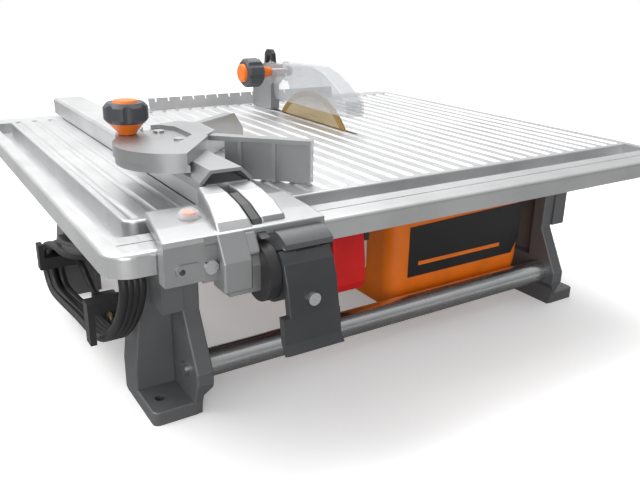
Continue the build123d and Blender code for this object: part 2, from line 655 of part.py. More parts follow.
# ---- mitre block: saddle and guide ----------------------------------------------------------
slide_gap = 0.5
saddle_wall = 2.0
saddle_left = beam_left - slide_gap - saddle_wall
saddle_right = beam_right + slide_gap + saddle_wall
saddle_front = beam_front + 1.0
saddle_length = 144.0
saddle_rear = saddle_front + saddle_length
saddle_low = beam_top - 4.2
saddle_top = beam_top + 9.5
saddle = slab_xz([(saddle_left, saddle_low), (saddle_left, saddle_top - 8), (saddle_left + 8, saddle_top),
                  (saddle_right - 8, saddle_top), (saddle_right, saddle_top - 8), (saddle_right, saddle_low)],
                 saddle_front, saddle_rear)
saddle -= block(beam_left - slide_gap, beam_right + slide_gap, saddle_front - 1, saddle_rear + 1,
                saddle_low - 1, beam_top + slide_gap)
saddle -= slab_xz([(beam_left + 1, beam_top - 1), (beam_left + 1, beam_top + 1.5), (beam_left + 6.5, saddle_top - 2.5),
                   (beam_right - 6.5, saddle_top - 2.5), (beam_right - 1, beam_top + 1.5),
                   (beam_right - 1, beam_top - 1)], saddle_front - 1, saddle_front + 24)
body_x = beam_left + 6.0
body_y = saddle_front + 65.0
body_radius = 46.0
body_low = saddle_top - 5.5
reveal = 1.2
body = rod_z(body_low, saddle_top, body_x, body_y, body_radius - reveal)
body &= block(body_x - 60, beam_left - slide_gap, body_y - 60, body_y + 60, 180, 220)
saddle += body
knob_x = beam_left - 18.0
knob_y = saddle_front + 104.0
stud_radius = 4.0
saddle -= rod_z(body_low - 1, saddle_top + 1, knob_x, knob_y, stud_radius)
mitre_screw_spots = [(beam_mid - 6, knob_y + 12), (beam_mid - 2, knob_y - 24)]
for x, y in mitre_screw_spots:
    saddle -= rod_z(beam_top + 3, saddle_top + 1, x, y, 2.5)
save("mitre_saddle", saddle)

plate_height = 9.0
guide_low = saddle_top
guide_top = guide_low + plate_height
pocket_floor = guide_top - 3.5
wing_top = guide_top - 2.0
vertex_x = beam_mid + 4.5
vertex_y = knob_y - 0.5
wing_low = deck_top + 0.8
wing_half = 2.5
wing_start = 42.0
near_length = 114.0
far_length = 160.0
wing_tip_z = wing_top - 6.0


def place_wing(shape, angle):
    """Turn a wing drawn along +X to its angle about the V's corner."""
    return Pos(vertex_x, vertex_y, 0) * Rot(0, 0, angle) * shape


def wing_ribs(stations, top, low, side):
    """Upright ribs on one face of a wing."""
    ribs = [block(s - 1.3, s + 1.3, *span(0, side * (wing_half + 5)), low, top) for s in stations]
    return ribs[0].fuse(*ribs[1:])


guide = rod_z(guide_low, guide_top, body_x, body_y, body_radius)
guide &= block(body_x - 60, beam_right, body_y - 60, body_y + 60, 180, 230)
guide += slab_xy([(knob_x - 14, knob_y - 14), (knob_x - 6, knob_y + 12), (beam_mid, knob_y + 30),
                  (saddle_right, knob_y + 36), (saddle_right + 14, knob_y + 20), (saddle_right + 12, knob_y - 15),
                  (beam_mid, knob_y - 50)], guide_low, guide_top)
guide -= slab_xy([(beam_left - 3, knob_y - 84), (saddle_right + 12, knob_y - 15), (saddle_right + 40, knob_y - 60),
                  (beam_mid, knob_y - 120)], guide_low - 1, guide_top + 1)
guide -= slab_xy([(beam_left - 5, knob_y + 10), (beam_left + 5, knob_y + 28), (beam_mid, knob_y + 25),
                  (beam_right - 9, knob_y + 13), (beam_right - 9, knob_y - 24), (beam_left + 3, knob_y - 49),
                  (beam_left - 7, knob_y - 34)], pocket_floor, guide_top + 1, 4.0)
near_wing = slab_xz([(wing_start, wing_low), (near_length, wing_low), (near_length, wing_top - 2.5),
                     (wing_start, wing_top)], -wing_half, wing_half)
near_wing += slab_xz([(20, wing_top - 3.5), (near_length, wing_top - 2), (near_length, wing_top + 1),
                      (20, wing_top + 0.6)], -wing_half - 5, wing_half)
near_wing += wing_ribs((56, 84, near_length - 1.3), wing_top - 1, wing_low, -1)
far_wing = slab_xz([(wing_start, wing_low), (far_length, wing_low), (far_length, wing_low + 9),
                    (134, wing_tip_z), (wing_start, wing_top)], -wing_half, wing_half)
far_wing += slab_xz([(20, wing_top - 3.5), (134, wing_tip_z - 3.5), (134, wing_tip_z), (20, wing_top)],
                    -wing_half, wing_half + 5)
far_wing += wing_ribs((60, 96, 130), wing_tip_z - 1, wing_low, 1)
wings = place_wing(near_wing, -45) + place_wing(far_wing, 45)
wings -= block(beam_left - 30, saddle_right + slide_gap, -260, 60, 150, guide_low)
guide += wings
neck_low = guide_top
guide -= rod_z(guide_low - 1, guide_top + 2, knob_x, knob_y, stud_radius)
mitre_screws = []
for x, y in mitre_screw_spots:
    screw = rod_z(beam_top + 3, pocket_floor, x, y, 2.5) + rod_z(pocket_floor, pocket_floor + 1.8, x, y, 4.6)
    guide -= screw
    mitre_screws.append(screw)
save("mitre_guide", guide)
save("mitre_screws", Compound(mitre_screws))

# ---- mitre clamp knob -------------------------------------------------------------------------
neck_low = guide_top + 0.5
neck_height = 9.0
knob_cap_radius = 17.0
knob_cap_height = 15.5
stud = rod_z(body_low - 4, neck_low + 7, knob_x, knob_y, stud_radius - running_clearance)
stud += rod_z(body_low - 5.5, body_low - 0.6, knob_x, knob_y, 7.0)
save("mitre_clamp_stud", stud)
cap_low = neck_low + neck_height
mitre_neck = turned_z([(0, neck_low), (7, neck_low), (8, neck_low + 2), (14, cap_low), (0, cap_low)], knob_x, knob_y)
mitre_neck -= stud
save("mitre_knob_neck", mitre_neck)
cap_top = cap_low + knob_cap_height
mitre_cap = turned_z([(0, cap_low), (14.5, cap_low), (knob_cap_radius, cap_low + 3), (knob_cap_radius, cap_top - 3),
                      (knob_cap_radius - 3, cap_top), (0, cap_top)], knob_x, knob_y)
for i in range(cap_lobes):
    flute = rod_z(cap_low - 1, cap_top + 1, knob_cap_radius + 3.2, 0, 5.0)
    mitre_cap -= Pos(knob_x, knob_y, 0) * Rot(0, 0, i * 360 / cap_lobes) * flute
save("mitre_knob_cap", mitre_cap)
mitre_insert = turned_z([(0, cap_top), (10, cap_top), (9, cap_top + 1.6), (0, cap_top + 2)], knob_x, knob_y)
save("mitre_knob_insert", mitre_insert)

# ---- cord hooks ------------------------------------------------------------------------------
coil_width = 24.0
coil_right = -(leg_outer + 2.0)
coil_left = coil_right - coil_width
hook_tip = coil_left - 1.0
hook_width = 12.0
upper_y = leg_back - 62.0
upper_z = 60.0
upper_hook = block(hook_tip - 5, -236, upper_y, upper_y + hook_width, upper_z, upper_z + 12)
upper_hook += block(hook_tip - 5, hook_tip, upper_y, upper_y + hook_width, upper_z, upper_z + 26)
upper_hook += block(-247, -236, upper_y, leg_back, upper_z, upper_z + 13)
upper_hook += block(-240, -216, leg_back - 6, leg_back, upper_z, upper_z + 24)
save("cord_hook_upper", upper_hook)
lower_y = -134.0
lower_z = 86.0
lower_hook = block(hook_tip - 5, -232, lower_y, lower_y + hook_width, lower_z, lower_z + 10)
lower_hook += block(hook_tip - 5, hook_tip, lower_y, lower_y + hook_width, lower_z - 26, lower_z + 10)
lower_hook -= stand_left
save("cord_hook_lower", lower_hook)

# ---- cord: lead behind the stand and the hank on the hooks -------------------------------------
hank_outer = [(84, 60), (77, 36), (57, 24), (31, 25), (-43, 35), (-101, 41), (-134, 51), (-168, 74), (-194, 102),
              (-208, 130), (-196, 156), (-160, 160), (-116, 144), (-60, 122), (0, 108), (40, 98), (72, 86)]
hank_inner = [(63, 62), (59, 49), (49, 45), (31, 46), (-43, 57), (-95, 63), (-124, 71), (-153, 91), (-174, 112),
              (-184, 128), (-178, 138), (-162, 139), (-122, 123), (-60, 101), (0, 87), (36, 77), (59, 73)]
hank = slab_yz(hank_outer, coil_left, coil_right) - slab_yz(hank_inner, coil_left - 1, coil_right + 1)
save("cord_hank", hank)

relief_y = -145.0
relief_z = 120.0
relief = turned([(box_left, 0), (box_left, 7), (box_left - 4, 7), (box_left - 26, 5), (box_left - 26, 0)],
                relief_y, relief_z)
relief -= rod_x(box_left - 30, box_left + 1, relief_y, relief_z, cord_radius)
save("strain_relief", relief)


def cord_tube(points, radius):
    """Straight runs joined by arcs that are as large as their runs allow."""
    corners = [Vector(*p) for p in points]
    runs = [b - a for a, b in zip(corners, corners[1:])]
    radii = []
    for before, after in zip(runs, runs[1:]):
        turn = before.get_angle(after)
        radii.append(0.45 * min(before.length, after.length) / math.tan(math.radians(turn / 2)))
    print("cord radii", [round(r, 1) for r in radii])
    path = FilletPolyline(*corners, radius=radii)
    start = Plane(corners[0], z_dir=runs[0])
    tube = sweep(start * Circle(radius), path=path)
    print("cord volume ratio", round(tube.volume / (math.pi * radius**2 * path.length), 4), "length", path.length)
    return tube


lead_route = [(box_left, relief_y, relief_z), (-140, relief_y, relief_z), (-174, -122, 119), (-198, -90, 114),
              (-226, -60, 105), (coil_right, -60, 105)]
save("cord_lead", cord_tube(lead_route, cord_radius))

# ---- plug, lying against the back of the hank --------------------------------------------------
plug_x = coil_right
plug_front = -48.0
plug_length = 42.0
plug = slab_yz([(plug_front, 33), (plug_front + 5, 29), (plug_front + 30, 29), (plug_front + plug_length, 36),
                (plug_front + plug_length, 48), (plug_front + 30, 55), (plug_front + 5, 55), (plug_front, 51)],
               plug_x, plug_x + 22)
for z, x in ((47, plug_x + 6), (47, plug_x + 16), (36, plug_x + 11)):
    plug += block(x - 0.8, x + 0.8, plug_front - 17, plug_front + 1, z - 3, z + 3)
save("power_plug", plug)
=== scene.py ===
import math

import bmesh
import bpy
from mathutils import Matrix, Vector


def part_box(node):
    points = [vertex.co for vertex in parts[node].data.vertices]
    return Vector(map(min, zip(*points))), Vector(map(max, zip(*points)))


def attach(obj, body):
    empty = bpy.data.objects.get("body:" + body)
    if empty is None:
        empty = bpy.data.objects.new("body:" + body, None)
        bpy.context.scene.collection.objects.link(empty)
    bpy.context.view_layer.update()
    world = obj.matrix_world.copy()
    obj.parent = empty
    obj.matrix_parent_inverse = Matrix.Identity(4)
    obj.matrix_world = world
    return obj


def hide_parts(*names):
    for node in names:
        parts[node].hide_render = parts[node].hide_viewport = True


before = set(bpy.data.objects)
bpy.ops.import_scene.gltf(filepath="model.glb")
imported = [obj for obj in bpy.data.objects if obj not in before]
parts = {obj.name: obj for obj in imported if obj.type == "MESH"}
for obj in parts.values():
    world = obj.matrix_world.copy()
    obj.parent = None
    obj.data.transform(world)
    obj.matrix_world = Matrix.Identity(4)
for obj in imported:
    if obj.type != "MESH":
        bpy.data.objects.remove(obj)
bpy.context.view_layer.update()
bpy.ops.object.select_all(action="DESELECT")


# ---- table ----
# One aluminium casting: a ribbed deck, a water channel round it and a broad rim.
# The ribs are machined bright, the channel and the rim keep the paler cast skin; here one brushed alloy finish covers
# all of it and the fence beam.
def cast_alloy(name, colour, grain=900.0, roughness=0.42, metal=0.85, pits=0.25, brush=None):
    """A cast or machined alloy: cloudy tone, fine grain and, if brushed, lines along one axis."""
    material = bpy.data.materials.new(name)
    material.use_nodes = True
    nodes, links = material.node_tree.nodes, material.node_tree.links
    shader = nodes["Principled BSDF"]
    shader.inputs["Metallic"].default_value = metal
    place = nodes.new("ShaderNodeTexCoord")
    clouds = nodes.new("ShaderNodeTexNoise")
    clouds.inputs["Scale"].default_value = 14.0
    clouds.inputs["Detail"].default_value = 6.0
    links.new(place.outputs["Object"], clouds.inputs["Vector"])
    tone = nodes.new("ShaderNodeValToRGB")
    tone.color_ramp.elements[0].position = 0.3
    tone.color_ramp.elements[1].position = 0.7
    tone.color_ramp.elements[0].color = (*[c * 0.86 for c in colour], 1)
    tone.color_ramp.elements[1].color = (*[min(1, c * 1.06) for c in colour], 1)
    links.new(clouds.outputs["Fac"], tone.inputs["Fac"])
    links.new(tone.outputs["Color"], shader.inputs["Base Color"])
    skin = nodes.new("ShaderNodeTexNoise")
    skin.inputs["Scale"].default_value = grain
    skin.inputs["Detail"].default_value = 3.0
    if brush:
        stretch = nodes.new("ShaderNodeMapping")
        stretch.inputs["Scale"].default_value = brush
        links.new(place.outputs["Object"], stretch.inputs["Vector"])
        links.new(stretch.outputs["Vector"], skin.inputs["Vector"])
    else:
        links.new(place.outputs["Object"], skin.inputs["Vector"])
    shine = nodes.new("ShaderNodeMapRange")
    shine.inputs["To Min"].default_value = roughness - 0.09
    shine.inputs["To Max"].default_value = roughness + 0.12
    links.new(skin.outputs["Fac"], shine.inputs["Value"])
    links.new(shine.outputs["Result"], shader.inputs["Roughness"])
    relief = nodes.new("ShaderNodeBump")
    relief.inputs["Strength"].default_value = pits
    relief.inputs["Distance"].default_value = 0.0003
    links.new(skin.outputs["Fac"], relief.inputs["Height"])
    links.new(relief.outputs["Normal"], shader.inputs["Normal"])
    return material


def dress(names, material):
    """Give CAD pieces their finish."""
    for name in names:
        parts[name].data.materials.clear()
        parts[name].data.materials.append(material)


table_alloy = cast_alloy("table_alloy", (0.66, 0.665, 0.67), grain=500, roughness=0.34, metal=0.9, pits=0.1,
                         brush=(1.0, 0.06, 1.0))
dress(["table", "fence_beam"], table_alloy)

# ---- splash lip ----
# A notched strip of the same alloy, screwed on the back rim behind the blade.
# It throws the spray back into the channel.
lip_alloy = cast_alloy("lip_alloy", (0.6, 0.61, 0.62), roughness=0.45, metal=0.8)
dress(["splash_lip"], lip_alloy)

# ---- stands ----
# Two dark coated castings with four legs, bolted under the table.
# The coat is grainy; its lighter wear along the edges is not drawn here.
dark_coat = cast_alloy("dark_coat", (0.17, 0.173, 0.178), grain=1400, roughness=0.42, metal=0.4, pits=0.5)
dress(["stand_left", "stand_right"], dark_coat)

# ---- front tube and fasteners ----
# A zinc-plated tube ties the front legs together, held by a screw in each end.
# All screws and bolts are zinc-plated steel.
zinc = cast_alloy("zinc", (0.72, 0.73, 0.74), grain=700, roughness=0.24, metal=1.0, pits=0.05,
                  brush=(0.05, 1, 1))
fastener = cast_alloy("fastener", (0.66, 0.67, 0.68), grain=1500, roughness=0.28, metal=1.0, pits=0.1)
dress(["front_tube"], zinc)
dress(["tube_bolts", "table_bolts", "lip_screws", "knife_screws", "mitre_screws", "head_screw", "lever_screw",
       "lever_pin", "paddle_pin", "guard_bolt", "mitre_clamp_stud", "arbor_nut"], fastener)

# ---- motor ----
# A ribbed dark housing under the deck with its windings, bearings and fan.
# Only its underside shows, from below.
winding = cast_alloy("winding", (0.45, 0.22, 0.1), grain=300, roughness=0.45, metal=0.8)
turned_steel = cast_alloy("turned_steel", (0.5, 0.5, 0.51), grain=600, roughness=0.3, metal=1.0, pits=0.08)
dress(["motor_housing"], dark_coat)
dress(["motor_stator", "rotor"], winding)
dress(["bearings", "spindle", "flange_inner", "flange_outer"], turned_steel)


def moulded(name, colour, roughness=0.45, grain=2200.0, relief=0.12, sheen=0.0):
    """Moulded plastic: an even colour with faint clouds and a fine spark-eroded texture."""
    material = bpy.data.materials.new(name)
    material.use_nodes = True
    nodes, links = material.node_tree.nodes, material.node_tree.links
    shader = nodes["Principled BSDF"]
    place = nodes.new("ShaderNodeTexCoord")
    clouds = nodes.new("ShaderNodeTexNoise")
    clouds.inputs["Scale"].default_value = 30.0
    links.new(place.outputs["Object"], clouds.inputs["Vector"])
    tone = nodes.new("ShaderNodeValToRGB")
    tone.color_ramp.elements[0].position = 0.35
    tone.color_ramp.elements[1].position = 0.65
    tone.color_ramp.elements[0].color = (*[c * 0.92 for c in colour], 1)
    tone.color_ramp.elements[1].color = (*[min(1, c * 1.05) for c in colour], 1)
    links.new(clouds.outputs["Fac"], tone.inputs["Fac"])
    links.new(tone.outputs["Color"], shader.inputs["Base Color"])
    skin = nodes.new("ShaderNodeTexNoise")
    skin.inputs["Scale"].default_value = grain
    links.new(place.outputs["Object"], skin.inputs["Vector"])
    shine = nodes.new("ShaderNodeMapRange")
    shine.inputs["To Min"].default_value = roughness - 0.06
    shine.inputs["To Max"].default_value = roughness + 0.08
    links.new(skin.outputs["Fac"], shine.inputs["Value"])
    links.new(shine.outputs["Result"], shader.inputs["Roughness"])
    bump = nodes.new("ShaderNodeBump")
    bump.inputs["Strength"].default_value = relief
    bump.inputs["Distance"].default_value = 0.0002
    links.new(skin.outputs["Fac"], bump.inputs["Height"])
    links.new(bump.outputs["Normal"], shader.inputs["Normal"])
    if sheen:
        shader.inputs["Coat Weight"].default_value = sheen
    return material


black_plastic = moulded("black_plastic", (0.025, 0.025, 0.027))
dress(["motor_end_cap", "shaft_seal", "cooling_fan"], black_plastic)


# ---- blade ----
# A thin steel disc with a continuous diamond rim, bronze where the diamonds are bonded.
# The grinding lines run round it.
def blade_finish(centre, rim_radius):
    """Ground steel in fine rings, with the bond's darker bronze from the rim inwards."""
    material = bpy.data.materials.new("blade_finish")
    material.use_nodes = True
    nodes, links = material.node_tree.nodes, material.node_tree.links
    shader = nodes["Principled BSDF"]
    shader.inputs["Metallic"].default_value = 0.9
    place = nodes.new("ShaderNodeTexCoord")
    centred = nodes.new("ShaderNodeMapping")
    centred.inputs["Location"].default_value = -centre
    flat = nodes.new("ShaderNodeVectorMath")
    flat.operation = "MULTIPLY"
    flat.inputs[1].default_value = (0, 1, 1)
    reach = nodes.new("ShaderNodeVectorMath")
    reach.operation = "LENGTH"
    links.new(place.outputs["Object"], centred.inputs["Vector"])
    links.new(centred.outputs["Vector"], flat.inputs[0])
    links.new(flat.outputs["Vector"], reach.inputs[0])
    bond = nodes.new("ShaderNodeMapRange")
    bond_depth = 0.007
    bond_edge = 0.0005
    bond.inputs["From Min"].default_value = rim_radius - bond_depth - bond_edge
    bond.inputs["From Max"].default_value = rim_radius - bond_depth + bond_edge
    links.new(reach.outputs["Value"], bond.inputs["Value"])
    rings = nodes.new("ShaderNodeTexNoise")
    rings.noise_dimensions = "1D"
    rings.inputs["Scale"].default_value = 900.0
    links.new(reach.outputs["Value"], rings.inputs["W"])
    steel = nodes.new("ShaderNodeValToRGB")
    steel.color_ramp.elements[0].color = (0.40, 0.30, 0.16, 1)
    steel.color_ramp.elements[1].color = (0.62, 0.50, 0.32, 1)
    links.new(rings.outputs["Fac"], steel.inputs["Fac"])
    mix = nodes.new("ShaderNodeMix")
    mix.data_type = "RGBA"
    mix.inputs["B"].default_value = (0.42, 0.27, 0.10, 1)
    links.new(bond.outputs["Result"], mix.inputs["Factor"])
    links.new(steel.outputs["Color"], mix.inputs["A"])
    links.new(mix.outputs["Result"], shader.inputs["Base Color"])
    shine = nodes.new("ShaderNodeMapRange")
    shine.inputs["To Min"].default_value = 0.28
    shine.inputs["To Max"].default_value = 0.62
    links.new(bond.outputs["Result"], shine.inputs["Value"])
    links.new(shine.outputs["Result"], shader.inputs["Roughness"])
    return material


blade_low, blade_high = [Vector(corner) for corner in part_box("saw_blade")]
blade_centre = (blade_low + blade_high) / 2
blade_radius = (blade_high.z - blade_low.z) / 2
dress(["saw_blade"], blade_finish(blade_centre, blade_radius))

# ---- riving knife and guard bracket ----
# A steel knife rises behind the blade in a grey cast bracket that carries the guard.
# A black spring catch stands on the bracket.
grey_casting = cast_alloy("grey_casting", (0.40, 0.405, 0.41), grain=1600, roughness=0.36, metal=0.8,
                          pits=0.35)
dress(["riving_knife"], turned_steel)
dress(["guard_bracket", "knife_holder"], grey_casting)
dress(["guard_catch"], black_plastic)


# ---- blade guard ----
# A frosted polycarbonate hood, open below, that lifts over the work.
# It lets the blade show through as a soft shape.
def frosted(name, colour, roughness, alpha):
    """Clear moulded plastic that lets part of what is behind it through, smeared by handling."""
    material = bpy.data.materials.new(name)
    material.use_nodes = True
    nodes, links = material.node_tree.nodes, material.node_tree.links
    shader = nodes["Principled BSDF"]
    shader.inputs["Base Color"].default_value = (*colour, 1)
    shader.inputs["Alpha"].default_value = alpha
    shader.inputs["Coat Weight"].default_value = 0.4
    place = nodes.new("ShaderNodeTexCoord")
    smear = nodes.new("ShaderNodeTexNoise")
    smear.inputs["Scale"].default_value = 60.0
    links.new(place.outputs["Object"], smear.inputs["Vector"])
    shine = nodes.new("ShaderNodeMapRange")
    shine.inputs["To Min"].default_value = roughness - 0.08
    shine.inputs["To Max"].default_value = roughness + 0.1
    links.new(smear.outputs["Fac"], shine.inputs["Value"])
    links.new(shine.outputs["Result"], shader.inputs["Roughness"])
    return material


dress(["guard_shell"], frosted("guard_polycarbonate", (0.52, 0.54, 0.56), 0.26, 0.36))

# ---- guard knob ----
# A lobed grey knob with an orange neck and end, turned to clamp the guard.
knob_grey = moulded("knob_grey", (0.06, 0.065, 0.075), roughness=0.42)
knob_orange = moulded("knob_orange", (0.90, 0.19, 0.012), roughness=0.4)
dress(["guard_knob_cap"], knob_grey)
dress(["guard_knob_neck", "guard_knob_insert"], knob_orange)

# ---- switch ----
# A black box under the table's front edge with a big red paddle.
# A small grey tab beside the paddle shows the reset.
dress(["switch_box"], black_plastic)
dress(["switch_paddle"], moulded("paddle_red", (0.78, 0.004, 0.004), roughness=0.42))
dress(["switch_indicator"], moulded("tab_grey", (0.55, 0.55, 0.53)))

# ---- water tub ----
# An orange moulded tub under the blade, with a plain black plate on its front.
# Its plug and the plates that guide it are at the back and inside.
# A plain orange stripe runs along the foot of the plate.
tub_orange = moulded("tub_orange", (0.93, 0.20, 0.008), roughness=0.38, grain=1500, relief=0.1)
dress(["water_tub"], tub_orange)
dress(["tub_badge"], moulded("badge_black", (0.012, 0.012, 0.012), roughness=0.35))
dress(["drain_plug"], black_plastic)
dress(["tub_guides"], grey_casting)
badge_low = Vector(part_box("tub_badge")[0])
stripe_size = (0.112, 0.0012, 0.0042)
stripe_place = badge_low + Vector((0.068, 0.0004, 0.013))
bpy.ops.mesh.primitive_cube_add(size=1)
stripe = bpy.context.object
stripe.name = "badge_stripe"
bpy.ops.object.mode_set(mode="EDIT")
bpy.ops.transform.resize(value=stripe_size)
bpy.ops.transform.translate(value=stripe_place)
bpy.ops.mesh.bevel(offset=0.0003, segments=2, affect="EDGES")
bpy.ops.object.mode_set(mode="OBJECT")
stripe.data.materials.append(tub_orange)
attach(stripe, "tub")

# ---- fence ----
# A hollow beam across the deck and a cast head that grips the front rim.
# A clear cursor with an orange pointer reads the scale.
dress(["fence_head"], grey_casting)
dress(["friction_disc"], black_plastic)
dress(["cursor_lens"], frosted("cursor_clear", (0.9, 0.93, 0.95), 0.12, 0.3))
lens_low, lens_high = [Vector(corner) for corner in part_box("cursor_lens")]
pointer_radius = 0.0046
pointer_height = 0.0022
pointer_rise = 0.0032
bpy.ops.mesh.primitive_cylinder_add(vertices=32, radius=pointer_radius, depth=pointer_height)
pointer = bpy.context.object
pointer.name = "cursor_pointer"
bpy.ops.object.mode_set(mode="EDIT")
bpy.ops.transform.translate(value=((lens_low.x + lens_high.x) / 2, (lens_low.y + lens_high.y) / 2,
                                   lens_low.z + pointer_rise))
bpy.ops.mesh.bevel(offset=0.0004, segments=2, affect="EDGES")
bpy.ops.object.mode_set(mode="OBJECT")
pointer.data.materials.append(knob_orange)
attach(pointer, "fence")

# ---- fence lever ----
# A curved dark lever that pulls the fence tight on the rim.
# The hood over its hub is a lighter grey of the same plastic.
lever_dark = moulded("lever_dark", (0.04, 0.042, 0.046), roughness=0.36)
dress(["clamp_lever"], lever_dark)
dress(["lever_hood"], moulded("hood_grey", (0.085, 0.088, 0.092), roughness=0.4))

# ---- mitre block ----
# A cast saddle on the beam and a V-shaped guide for cuts at 45 degrees.
# Its clamp knob is like the guard's.
dress(["mitre_saddle", "mitre_guide"], grey_casting)
dress(["mitre_knob_cap"], knob_grey)
dress(["mitre_knob_neck", "mitre_knob_insert"], knob_orange)

# ---- cord hooks ----
# Two black hooks on the left legs hold the mains cord in a flat hank.
# They are moulded plastic like the switch box.
dress(["cord_hook_upper", "cord_hook_lower"], black_plastic)

# ---- mains cord ----
# One rubber cord leaves the switch box, passes behind the leg and winds four times over the hooks.
# Its turns step in along the hooks and stray a little, and its end goes to the plug.
# The smooth curve is slightly shorter than the line through its points.
cord_rubber = moulded("cord_rubber", (0.014, 0.014, 0.015), roughness=0.46, grain=900, relief=0.08)
cord_radius = 0.00375
turns = 4
coil_left = -0.2692
coil_step = 0.0163 / turns
strays = (0.0042, -0.0046, 0.0044, -0.0042)
turn_line = [(0.0, 0.0975), (0.038, 0.0875), (0.0655, 0.0765), (0.0735, 0.0610), (0.0680, 0.0440),
             (0.0530, 0.0345), (0.0310, 0.0355), (-0.006, 0.0405), (-0.043, 0.0460), (-0.098, 0.0520),
             (-0.129, 0.0610), (-0.160, 0.0820), (-0.184, 0.1070), (-0.196, 0.1290), (-0.187, 0.1470), (-0.161, 0.1500),
             (-0.119, 0.1340), (-0.060, 0.1120)]
middle = Vector((sum(y for y, z in turn_line), sum(z for y, z in turn_line))) / len(turn_line)
lead_in = [(-0.092, -0.145, 0.120), (-0.116, -0.145, 0.120), (-0.140, -0.144, 0.1198),
           (-0.157, -0.134, 0.1193), (-0.174, -0.121, 0.1183), (-0.187, -0.105, 0.1162),
           (-0.198, -0.090, 0.1138), (-0.212, -0.0745, 0.1095), (-0.228, -0.0625, 0.1063),
           (-0.246, -0.0575, 0.1040), (-0.262, -0.0400, 0.1010), (-0.2692, -0.018, 0.0985)]
path = [Vector(point) for point in lead_in]
for step in range(turns * len(turn_line)):
    along = step / len(turn_line)
    y, z = turn_line[step % len(turn_line)]
    stray = strays[int(along)] * math.sin(math.pi * min(1, 0.15 + 2 * (along % 1)))
    away = (Vector((y, z)) - middle).normalized() * stray
    path.append(Vector((coil_left + coil_step * along, y + away.x, z + away.y)))
plug_run = [(-0.2526, -0.0015, 0.0960), (-0.2500, 0.0200, 0.0880), (-0.2450, 0.0345, 0.0720),
            (-0.2400, 0.0330, 0.0550), (-0.2380, 0.0200, 0.0450), (-0.2380, 0.0060, 0.0422),
            (-0.2380, -0.0040, 0.0420)]
path += [Vector(point) for point in plug_run]
cord_line = bpy.data.curves.new("mains_cord", "CURVE")
cord_line.dimensions = "3D"
cord_line.bevel_depth = cord_radius
cord_line.bevel_resolution = 5
cord_line.resolution_u = 8
cord_line.use_fill_caps = True
spline = cord_line.splines.new("NURBS")
spline.points.add(len(path) - 1)
for point, place in zip(spline.points, path):
    point.co = (*place, 1)
spline.order_u = 3
spline.use_endpoint_u = True
cord = bpy.data.objects.new("mains_cord", cord_line)
bpy.context.scene.collection.objects.link(cord)
cord_line.materials.append(cord_rubber)
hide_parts("cord_lead", "cord_hank")
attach(cord, "stand")

# ---- strain relief ----
# A tapered rubber sleeve with rings round it where the cord leaves the switch box.
sleeve_low, sleeve_high = [Vector(corner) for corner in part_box("strain_relief")]
sleeve_middle = (sleeve_low + sleeve_high) / 2
sleeve_length = 0.0256
ring_count = 6
ring_pitch = 0.0038
bpy.ops.mesh.primitive_cone_add(vertices=48, radius1=0.0068, radius2=0.0050, depth=sleeve_length,
                                rotation=(0, -math.pi / 2, 0), location=sleeve_middle)
sleeve = bpy.context.object
sleeve.name = "cord_sleeve"
bpy.ops.object.transform_apply(location=True, rotation=True, scale=True)
for ring in range(ring_count):
    ring_x = sleeve_high.x - 0.0035 - ring_pitch * ring
    bpy.ops.object.mode_set(mode="EDIT")
    bpy.ops.mesh.select_all(action="DESELECT")
    bpy.ops.mesh.primitive_torus_add(major_radius=0.0058 - 0.0002 * ring, minor_radius=0.0009,
                                     major_segments=40, minor_segments=10, rotation=(0, math.pi / 2, 0),
                                     location=(ring_x, sleeve_middle.y, sleeve_middle.z))
    bpy.ops.object.mode_set(mode="OBJECT")
sleeve.data.materials.append(cord_rubber)
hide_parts("strain_relief")
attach(sleeve, "stand")

# ---- plug ----
# A moulded two-pin plug with a grip waist and an earth pin, on the end of the cord.
# Its pins are brass.
plug_x = -0.2380
pin_size = (0.0016, 0.018, 0.006)
pin_gap = 0.0100
pin_y = -0.0558
bpy.ops.mesh.primitive_cube_add(size=1)
plug = bpy.context.object
plug.name = "plug_body"
bpy.ops.object.mode_set(mode="EDIT")
bpy.ops.transform.resize(value=(0.0215, 0.027, 0.0255))
bpy.ops.transform.translate(value=(plug_x, -0.0340, 0.0420))
bpy.ops.mesh.select_all(action="DESELECT")
body_mesh = bmesh.from_edit_mesh(plug.data)
for face in body_mesh.faces:
    face.select = face.calc_center_median().y > -0.0215
bmesh.update_edit_mesh(plug.data)
bpy.ops.mesh.extrude_region_move(TRANSFORM_OT_translate={"value": (0, 0.0035, 0)})
bpy.ops.transform.resize(value=(0.62, 1, 0.62))
for run, taper in ((0.0025, 1.18), (0.0022, 0.82), (0.0025, 1.18), (0.0030, 0.80)):
    bpy.ops.mesh.extrude_region_move(TRANSFORM_OT_translate={"value": (0, run, 0)})
    bpy.ops.transform.resize(value=(taper, 1, taper))
bpy.ops.mesh.select_all(action="SELECT")
bpy.ops.mesh.bevel(offset=0.0014, segments=3, affect="EDGES", clamp_overlap=True)
bpy.ops.object.mode_set(mode="OBJECT")
bpy.ops.object.shade_smooth_by_angle(angle=math.radians(40))
plug.data.materials.append(cord_rubber)
bpy.ops.mesh.primitive_cube_add(size=1)
pins = bpy.context.object
pins.name = "plug_pins"
bpy.ops.object.mode_set(mode="EDIT")
bpy.ops.transform.resize(value=pin_size)
bpy.ops.transform.translate(value=(plug_x - pin_gap / 2, pin_y, 0.0470))
bpy.ops.mesh.duplicate_move(TRANSFORM_OT_translate={"value": (pin_gap, 0, 0)})
bpy.ops.mesh.select_all(action="DESELECT")
bpy.ops.mesh.primitive_cylinder_add(vertices=24, radius=0.0024, depth=pin_size[1],
                                    rotation=(math.pi / 2, 0, 0), location=(plug_x, pin_y, 0.0360))
bpy.ops.mesh.select_all(action="SELECT")
bpy.ops.mesh.bevel(offset=0.0003, segments=2, affect="EDGES")
bpy.ops.object.mode_set(mode="OBJECT")
